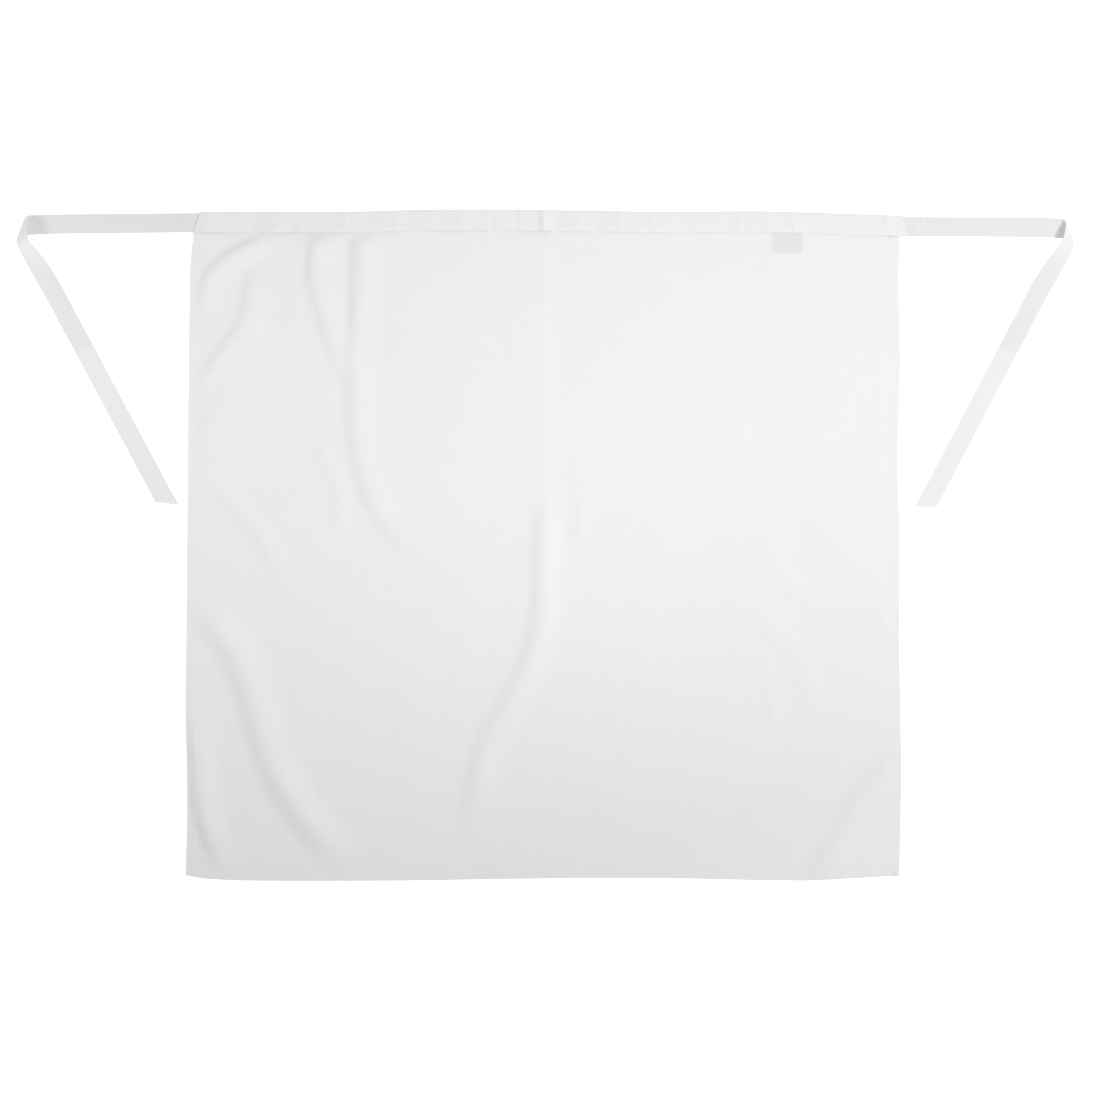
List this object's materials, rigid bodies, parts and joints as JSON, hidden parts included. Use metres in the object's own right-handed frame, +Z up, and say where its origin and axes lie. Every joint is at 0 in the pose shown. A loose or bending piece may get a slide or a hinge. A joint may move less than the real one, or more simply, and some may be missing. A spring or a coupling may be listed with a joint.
{
  "type": "waist apron",
  "caption": "Long waist apron of plain white cloth lying flat, with hemmed edges, a folded waistband and a tape tie from each end.",
  "frame": {"origin": "on the floor, at the middle of the cloth", "axes": "+X along the waistband to the picture's right, +Y up the apron towards the waistband, +Z up off the floor, out of the apron's front"},
  "size_m": [1.355, 0.8604, 0.0199],
  "materials": {
    "panel_cloth": "white polyester-cotton twill, matt, softly creased",
    "band_cloth": "white polyester-cotton twill, folded and top-stitched",
    "tie_tape": "white cotton tape, matt, stitched along both edges",
    "label_ribbon": "blank pale satin ribbon"
  },
  "bodies": {
    "root": {"panel": "panel_cloth", "waistband": "band_cloth", "tie_left": "tie_tape", "tie_right": "tie_tape", "care_label": "label_ribbon"}
  },
  "joints": []
}
